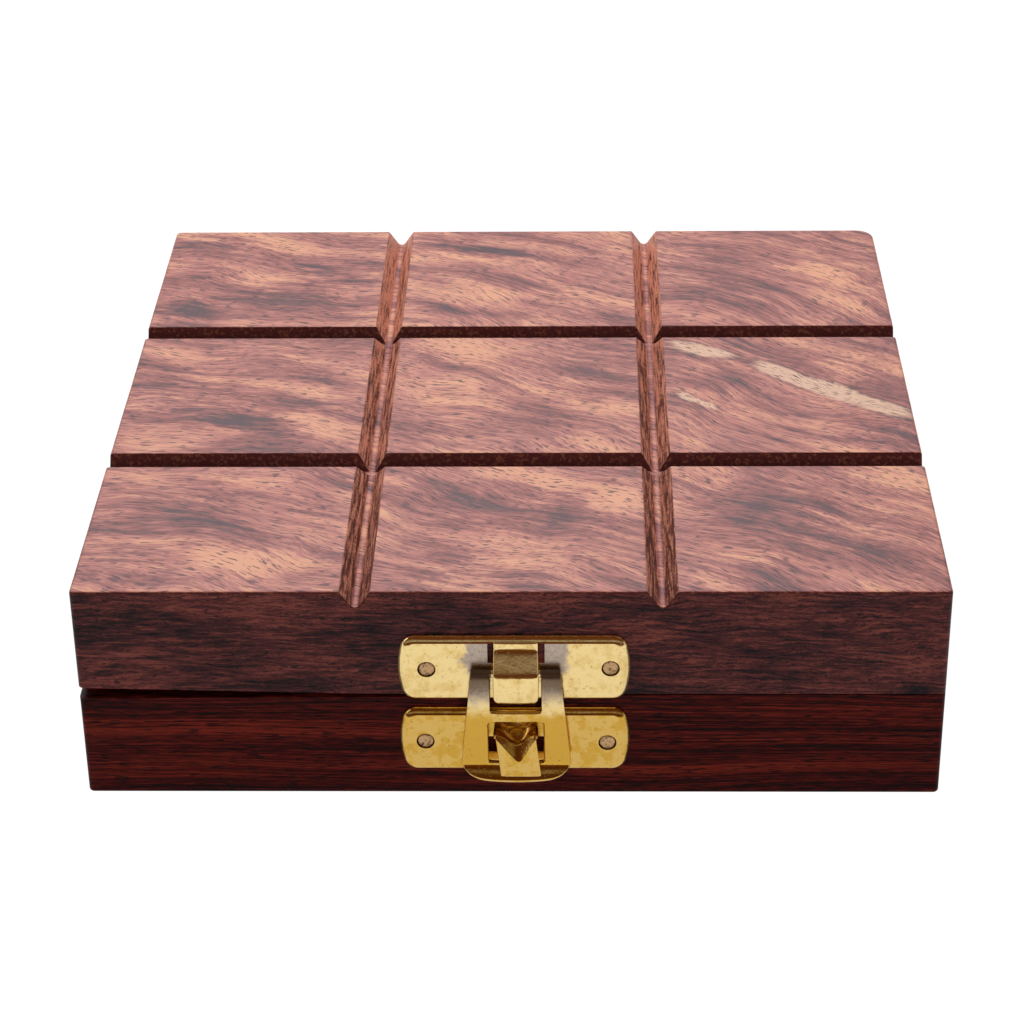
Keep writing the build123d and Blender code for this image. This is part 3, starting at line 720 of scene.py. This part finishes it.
def cage(name, rows, holes=()):
    """A sheet of quads through rows of points in millimetres, from its foot up, without the faces named as holes."""
    deselect_all()
    across = len(rows[0]) - 1
    bpy.ops.mesh.primitive_grid_add(x_subdivisions=across, y_subdivisions=len(rows) - 1, size=1.0)
    piece = bpy.context.object
    piece.name = name
    for index, vertex in enumerate(piece.data.vertices):
        row, column = divmod(index, across + 1)
        vertex.co = Vector(rows[row][column]) * MM
    for polygon in piece.data.polygons:
        polygon.select = divmod(polygon.index, across) in holes
    edit_mesh()
    bpy.ops.mesh.select_mode(type="FACE")
    if holes:
        bpy.ops.mesh.delete(type="FACE")
    bpy.ops.object.mode_set(mode="OBJECT")
    return piece


def sheet_metal(piece, thickness):
    """Gives a cage its thickness behind its face and rounds it."""
    apply_modifier(piece, "SOLIDIFY", thickness=thickness, offset=-1.0)
    apply_modifier(piece, "SUBSURF", levels=ROUNDING, render_levels=ROUNDING)


def crease_rows(piece, columns, rows, crease):
    """Keeps the edges along the named rows of a cage sharp."""
    edit_mesh()
    bpy.ops.mesh.select_mode(type="EDGE")
    bpy.ops.mesh.select_all(action="DESELECT")
    mesh = bmesh.from_edit_mesh(piece.data)
    for edge in mesh.edges:
        first, second = (vertex.index // columns for vertex in edge.verts)
        if first == second and first in rows:
            edge.select_set(True)
    bmesh.update_edit_mesh(piece.data)
    bpy.ops.transform.edge_crease(value=crease)
    bpy.ops.object.mode_set(mode="OBJECT")


def close_piece(piece, body, node, material, flat_y=None):
    """Finishes a piece that stands for a CAD node: shading, material and body, and hides the node."""
    deselect_all()
    piece.select_set(True)
    bpy.context.view_layer.objects.active = piece
    bpy.ops.object.shade_smooth_by_angle(angle=math.radians(SMOOTH_ANGLE))
    if flat_y is not None:
        edit_mesh()
        pick("FACE", lambda p: abs(p.y - flat_y) < FLAT_WITHIN)
        bpy.ops.mesh.faces_shade_flat()
        bpy.ops.object.mode_set(mode="OBJECT")
    piece.data.materials.clear()
    piece.data.materials.append(material)
    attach(piece, body)
    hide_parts(node)


def stamped_plate(name, clasp, node):
    """A plate with bulged ends, rounded corners and a rolled rim, in the place of a CAD plate."""
    low, high = (corner * PER_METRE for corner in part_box(node))
    back, thickness = high.y, clasp.plate * PER_METRE
    front = back - thickness
    bulge = clasp.plate_bulge * PER_METRE
    middle, half_width = (low.x + high.x) / 2, (high.x - low.x) / 2 - bulge
    half_height = (high.z - low.z) / 2
    centre_z = (high.z + low.z) / 2
    deselect_all()
    bpy.ops.mesh.primitive_plane_add(
        size=2.0 * MM, location=Vector((middle, back, centre_z)) * MM, rotation=(math.radians(90.0), 0.0, 0.0)
    )
    piece = bpy.context.object
    piece.scale = (half_width, half_height, 1.0)
    settle(piece, name)
    edit_mesh()
    for side in (-1, 1):
        end = middle + side * half_width
        pick("EDGE", lambda p: abs(p.x - end) < NEAR)
        bpy.ops.mesh.subdivide(number_cuts=END_STEPS - 1)
        for step in range(1, END_STEPS):
            share = 2 * step / END_STEPS - 1
            z = centre_z + half_height * share
            pick("VERT", lambda p: abs(p.x - end) < NEAR and abs(p.z - z) < NEAR)
            slide(x=side * bulge * (1 - share**2))
    pick("VERT", lambda p: abs(abs(p.z - centre_z) - half_height) < NEAR)
    bpy.ops.mesh.bevel(offset=clasp.plate_corner, segments=7, affect="VERTICES")
    bpy.ops.mesh.select_all(action="SELECT")
    bpy.ops.mesh.dissolve_limited(angle_limit=0.001)
    bpy.ops.object.mode_set(mode="OBJECT")
    apply_modifier(piece, "SOLIDIFY", thickness=clasp.plate, offset=1.0)
    edit_mesh()
    pick("EDGE", lambda p: abs(p.y - front) < NEAR)
    bpy.ops.mesh.bevel(offset=clasp.plate_rim, segments=8, profile=0.36, affect="EDGES")
    bpy.ops.mesh.select_all(action="SELECT")
    bpy.ops.mesh.quads_convert_to_tris(quad_method="BEAUTY", ngon_method="CLIP")
    bpy.ops.object.mode_set(mode="OBJECT")
    return piece, front


def cut_slot(piece, front, low, high):
    """A slot through a plate, between two corners on its face."""
    cut(piece, bar_stock("slot", (low[0], front - CUT_BEFORE, low[1]), (high[0], front + CUT_BEHIND, high[1])))


def drill_nail_holes(piece, clasp, front, places):
    """Round holes where the nails go."""
    radius = clasp.hole_radius * PER_METRE
    length = CUT_BEFORE + CUT_BEHIND
    for x, z in places:
        cut(piece, rod("drill", radius, length, (x, front - CUT_BEFORE + length / 2, z), LYING_BACK))


LYING_BACK = (90.0, 0.0, 0.0)
LYING_ACROSS = (0.0, 90.0, 0.0)
UPPER_SLOT = ((-3.3, 23.8), (5.0, 27.15))
LOWER_SLOT = ((-3.35, 8.3), (4.85, 11.0))
UPPER_NAILS = ((-12.2, 22.65), (14.55, 22.8))
LOWER_NAILS = ((-12.65, 10.1), (14.15, 9.85))
LOOP_MIDDLE = 0.8
LOOP_ROOT_CROWN = 0.4
# The loop from its foot up: y, z and half its width.
LOOP_PROFILE = (
    (-64.55, 17.95, 2.75),
    (-66.20, 17.95, 2.80),
    (-66.85, 18.05, 2.95),
    (-67.15, 18.45, 3.20),
    (-67.30, 19.00, 3.38),
    (-67.30, 20.50, 3.40),
    (-67.28, 22.25, 3.40),
    (-67.12, 22.90, 3.38),
    (-66.75, 23.45, 3.36),
    (-65.42, 25.35, 3.34),
    (-65.02, 25.95, 3.32),
    (-64.82, 26.50, 3.30),
    (-64.80, 27.45, 3.30),
)
# Places across the loop as shares of that half, and how far the surface lies back there.
LOOP_SPREAD = ((-1.0, 0.60), (-0.96, 0.18), (-0.80, 0.0), (0.0, -0.05), (0.80, 0.0), (0.96, 0.18), (1.0, 0.60))


class BOX_OT_upper_plate(bpy.types.Operator):
    """Makes the lid's plate with its nail holes, its slot and the loop that holds the hasp"""

    bl_idname = "game_box.upper_plate"
    bl_label = "Upper clasp plate"

    def execute(self, context):
        clasp = context.scene.game_box_clasp
        piece, front = stamped_plate("upper_plate", clasp, "clasp_upper_plate")
        cut_slot(piece, front, *UPPER_SLOT)
        drill_nail_holes(piece, clasp, front, UPPER_NAILS)
        rows = []
        for index, (y, z, half) in enumerate(LOOP_PROFILE):
            crown = 1.0 if 1 < index < len(LOOP_PROFILE) - 2 else LOOP_ROOT_CROWN
            rows.append([(LOOP_MIDDLE + u * half, y + crown * back, z) for u, back in LOOP_SPREAD])
        loop = cage("loop", rows)
        sheet_metal(loop, clasp.sheet)
        weld(piece, loop)
        material = clasp_brass(context.scene.game_box_brass)
        close_piece(piece, "lid", "clasp_upper_plate", material, flat_y=front)
        return {"FINISHED"}


CATCH_HALF = 3.05
CATCH_TOP = (0.72, 13.3)
CATCH_FOOT = 7.0
CATCH_LEAN = 0.115
CATCH_RIDGES = (6, 8)
RIDGE_CREASE = 0.85
CATCH_SPREAD = (-1.0, -0.88, -0.6, -0.3, 0.0, 0.3, 0.6, 0.88, 1.0)
# The catch from its foot up: y and z at five places from its left edge to its middle.
CATCH_ROWS = (
    ((-67.85, 6.85), (-67.85, 6.80), (-67.85, 6.80), (-67.85, 6.80), (-67.85, 6.80)),
    ((-68.05, 6.45), (-68.10, 6.38), (-68.10, 6.36), (-68.10, 6.36), (-68.10, 6.36)),
    ((-68.48, 6.45), (-68.52, 6.38), (-68.52, 6.36), (-68.52, 6.36), (-68.52, 6.36)),
    ((-68.66, 7.25), (-68.76, 7.10), (-68.76, 7.00), (-68.76, 6.95), (-68.76, 6.95)),
    ((-68.60, 9.80), (-68.72, 9.60), (-68.78, 8.90), (-68.79, 8.20), (-68.79, 7.80)),
    ((-68.50, 12.3), (-68.66, 12.2), (-68.74, 11.0), (-68.78, 9.75), (-68.80, 8.40)),
    ((-68.40, 13.0), (-68.60, 12.9), (-68.70, 11.5), (-68.76, 10.15), (-68.80, 8.80)),
    ((-68.20, 13.2), (-68.28, 13.2), (-68.22, 12.25), (-68.20, 11.0), (-68.20, 9.95)),
    ((-67.95, 13.4), (-67.95, 13.4), (-67.70, 12.9), (-67.58, 11.9), (-67.55, 11.1)),
    ((-67.70, 13.4), (-67.70, 13.4), (-67.40, 12.8), (-67.28, 12.0), (-67.25, 11.3)),
    ((-67.20, 13.4), (-67.20, 13.1), (-66.90, 12.2), (-66.75, 11.3), (-66.70, 10.8)),
    ((-66.00, 13.4), (-66.00, 13.2), (-66.00, 12.2), (-66.00, 11.4), (-66.00, 11.1)),
    ((-64.30, 13.6), (-64.30, 13.6), (-64.30, 13.5), (-64.30, 13.3), (-64.30, 13.2)),
)


class BOX_OT_lower_plate(bpy.types.Operator):
    """Makes the base's plate with its nail holes, its slot and the dented catch"""

    bl_idname = "game_box.lower_plate"
    bl_label = "Lower clasp plate"

    def execute(self, context):
        clasp = context.scene.game_box_clasp
        piece, front = stamped_plate("lower_plate", clasp, "clasp_lower_plate")
        cut_slot(piece, front, *LOWER_SLOT)
        drill_nail_holes(piece, clasp, front, LOWER_NAILS)
        rows = []
        for left in CATCH_ROWS:
            points = [*left, *reversed(left[:4])]
            middles = [CATCH_TOP[0] + (CATCH_TOP[1] - max(z, CATCH_FOOT)) * CATCH_LEAN for _, z in points]
            rows.append([(m + u * CATCH_HALF, y, z) for m, u, (y, z) in zip(middles, CATCH_SPREAD, points)])
        catch = cage("catch", rows)
        crease_rows(catch, len(CATCH_SPREAD), CATCH_RIDGES, RIDGE_CREASE)
        sheet_metal(catch, clasp.sheet)
        weld(piece, catch)
        material = clasp_brass(context.scene.game_box_brass)
        close_piece(piece, "base", "clasp_lower_plate", material, flat_y=front)
        return {"FINISHED"}


HASP_MIDDLE = 0.75
HASP_PIVOT = (-65.525, 22.6)
HASP_BAR = 13.0
HASP_TOP, HASP_FOOT = 23.25, 7.5
HASP_TOP_HALF, HASP_FOOT_HALF = 6.55, 8.10
HASP_EDGE = 0.32
HASP_OPEN = 3.72
HASP_WINDOW = 4.03
# The hasp from its top down: y, z and half the width of the opening there.
HASP_ROWS = (
    (-65.75, 23.08, HASP_OPEN),
    (-66.02, 22.98, HASP_OPEN),
    (-66.28, 22.76, HASP_OPEN),
    (-66.50, 22.42, HASP_OPEN),
    (-66.69, 21.80, HASP_OPEN),
    (-66.75, 19.50, HASP_OPEN),
    (-66.75, 16.75, HASP_OPEN),
    (-66.75, 16.40, HASP_OPEN),
    (-66.75, 16.10, HASP_OPEN),
    (-66.75, 15.05, HASP_WINDOW),
    (-66.75, 14.75, HASP_WINDOW),
    (-66.75, 14.40, HASP_WINDOW),
    (-66.75, 11.20, HASP_WINDOW),
    (-66.75, 8.15, HASP_WINDOW),
    (-66.75, 7.80, HASP_WINDOW),
)
# The lip's rim as x and z from its end to its middle, and the shares of the foot's width that they start from.
LIP_EDGE = ((7.75, 7.05), (7.05, 6.22), (5.85, 5.62), (4.40, 5.30), (0.0, 5.12))
LIP_SHARES = (1.0, 0.95, 0.76, 0.56, 0.0)
LIP_STEPS = (0.0, 0.16, 0.36, 0.58, 0.80, 1.0)
LIP_FACE = -66.78
OPEN_ROWS, WINDOW_ROWS, HOLE_COLUMNS = range(0, 7), range(10, 14), (3, 4)
LIP_START, LIP_CURVE, LIP_STEEPEST = 0.25, 0.3, 0.60


class BOX_OT_hasp(bpy.types.Operator):
    """Makes the swinging hasp: two arms on a bar, the window for the catch and the flared lip"""

    bl_idname = "game_box.hasp"
    bl_label = "Hasp"

    def execute(self, context):
        clasp = context.scene.game_box_clasp
        rows = []
        for y, z, half in HASP_ROWS:
            down = (HASP_TOP - z) / (HASP_TOP - HASP_FOOT)
            outer = HASP_TOP_HALF + down * (HASP_FOOT_HALF - HASP_TOP_HALF)
            left = [(-across, y, z) for across in (outer, outer - HASP_EDGE, half + HASP_EDGE, half, 0.0)]
            rows.append(self.mirrored(left))
        for step in LIP_STEPS:
            left = []
            for share, (edge_x, edge_z) in zip(LIP_SHARES, LIP_EDGE):
                across = HASP_FOOT_HALF * share * (1.0 - step) + edge_x * step
                fall = (HASP_FOOT - edge_z) * step
                flare = min(LIP_STEEPEST, LIP_START + fall * LIP_CURVE)
                left.append((-across, LIP_FACE - fall * flare, HASP_FOOT - fall))
            rows.append(self.mirrored(left))
        rows.reverse()
        last = len(rows) - 1
        holes = {(last - 1 - row, column) for row in (*OPEN_ROWS, *WINDOW_ROWS) for column in HOLE_COLUMNS}
        piece = cage("hasp", rows, holes)
        sheet_metal(piece, clasp.sheet)
        weld(piece, rod("bar", clasp.bar_radius * PER_METRE, HASP_BAR, (HASP_MIDDLE, *HASP_PIVOT), LYING_ACROSS, 40))
        close_piece(piece, "hasp", "clasp_hasp", clasp_brass(context.scene.game_box_brass))
        return {"FINISHED"}

    def mirrored(self, left):
        """A row of points from its left half, whose last point is the middle one."""
        right = [(-x, y, z) for x, y, z in reversed(left[:-1])]
        return [(HASP_MIDDLE + x, y, z) for x, y, z in left + right]


NAIL_DROP = 0.13
NAIL_ROUNDING = 0.16


class BOX_OT_clasp_nails(bpy.types.Operator):
    """Makes the four round-headed nails of the clasp"""

    bl_idname = "game_box.clasp_nails"
    bl_label = "Clasp nails"

    def execute(self, context):
        clasp = context.scene.game_box_clasp
        material = nail_metal(context.scene.game_box_brass)
        radius = clasp.nail_radius * PER_METRE
        groups = (("upper", "lid", UPPER_NAILS), ("lower", "base", LOWER_NAILS))
        for plate, body, places in groups:
            low, high = (corner * PER_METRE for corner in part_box("clasp_nails_" + plate))
            top = low.y + clasp.nail_sink * PER_METRE
            for number, (x, z) in enumerate(places, 1):
                place = (x, (top + high.y) / 2, z - NAIL_DROP)
                nail = rod("clasp_nail", radius, high.y - top, place, LYING_BACK)
                nail.name = f"clasp_nail_{plate}_{number}"
                edit_mesh()
                pick("EDGE", lambda p: abs(p.y - top) < NEAR)
                bpy.ops.mesh.bevel(offset=NAIL_ROUNDING * MM, segments=3, affect="EDGES")
                bpy.ops.object.mode_set(mode="OBJECT")
                close_piece(nail, body, "clasp_nails_" + plate, material)
        return {"FINISHED"}


class BOX_OT_woods(bpy.types.Operator):
    """Finishes the lid, the base, the board, the pegs and the counters"""

    bl_idname = "game_box.woods"
    bl_label = "Woods"

    def execute(self, context):
        wood = context.scene.game_box_wood
        dress(["lid"], lid_rosewood(wood))
        dress(["base_tray"], base_rosewood(wood))
        dress(["solitaire_board"], straight_wood("board_rosewood", wood.board_dark, wood.board_light, 0.5))
        dress(nodes_starting("cross"), straight_wood("dark_counter_wood", wood.board_dark, wood.side_red, 0.6))
        dress(nodes_starting("nought"), straight_wood("pale_counter_wood", wood.pale_dark, wood.pale_light, 0.5))
        dress(nodes_starting("peg"), straight_wood("peg_wood", wood.pale_dark, wood.pale_light, 0.9))
        return {"FINISHED"}


class BOX_OT_hinges(bpy.types.Operator):
    """Finishes the hinges and their nails"""

    bl_idname = "game_box.hinges"
    bl_label = "Hinges"

    def execute(self, context):
        brass = context.scene.game_box_brass
        dress(nodes_starting("hinge_left", "hinge_right"), hinge_brass(brass))
        dress(nodes_starting("hinge_nails"), nail_metal(brass))
        return {"FINISHED"}


class BOX_PT_panel(bpy.types.Panel):
    """The box's settings and steps"""

    bl_idname = "BOX_PT_panel"
    bl_label = "Game Box"
    bl_space_type = "VIEW_3D"
    bl_region_type = "UI"
    bl_category = "Game Box"

    def draw(self, context):
        for group in GROUPS:
            settings = getattr(context.scene, group)
            column = self.layout.column()
            for name in settings.__annotations__:
                column.prop(settings, name)
        for step in STEPS:
            self.layout.operator(step.bl_idname)


GROUPS = {
    "game_box_stage": StageSettings,
    "game_box_wood": WoodSettings,
    "game_box_brass": BrassSettings,
    "game_box_clasp": ClaspSettings,
}
STEPS = (
    BOX_OT_stage,
    BOX_OT_woods,
    BOX_OT_hinges,
    BOX_OT_upper_plate,
    BOX_OT_lower_plate,
    BOX_OT_hasp,
    BOX_OT_clasp_nails,
)


def register():
    for group in (*GROUPS.values(), *STEPS, BOX_PT_panel):
        bpy.utils.register_class(group)
    for name, group in GROUPS.items():
        setattr(bpy.types.Scene, name, PointerProperty(type=group))


def unregister():
    for name in GROUPS:
        delattr(bpy.types.Scene, name)
    for group in (BOX_PT_panel, *reversed(STEPS), *GROUPS.values()):
        bpy.utils.unregister_class(group)


def main():
    register()
    bpy.ops.game_box.stage()
    bpy.ops.game_box.woods()
    bpy.ops.game_box.hinges()
    bpy.ops.game_box.upper_plate()
    bpy.ops.game_box.lower_plate()
    bpy.ops.game_box.hasp()
    bpy.ops.game_box.clasp_nails()


if __name__ == "__main__":
    main()
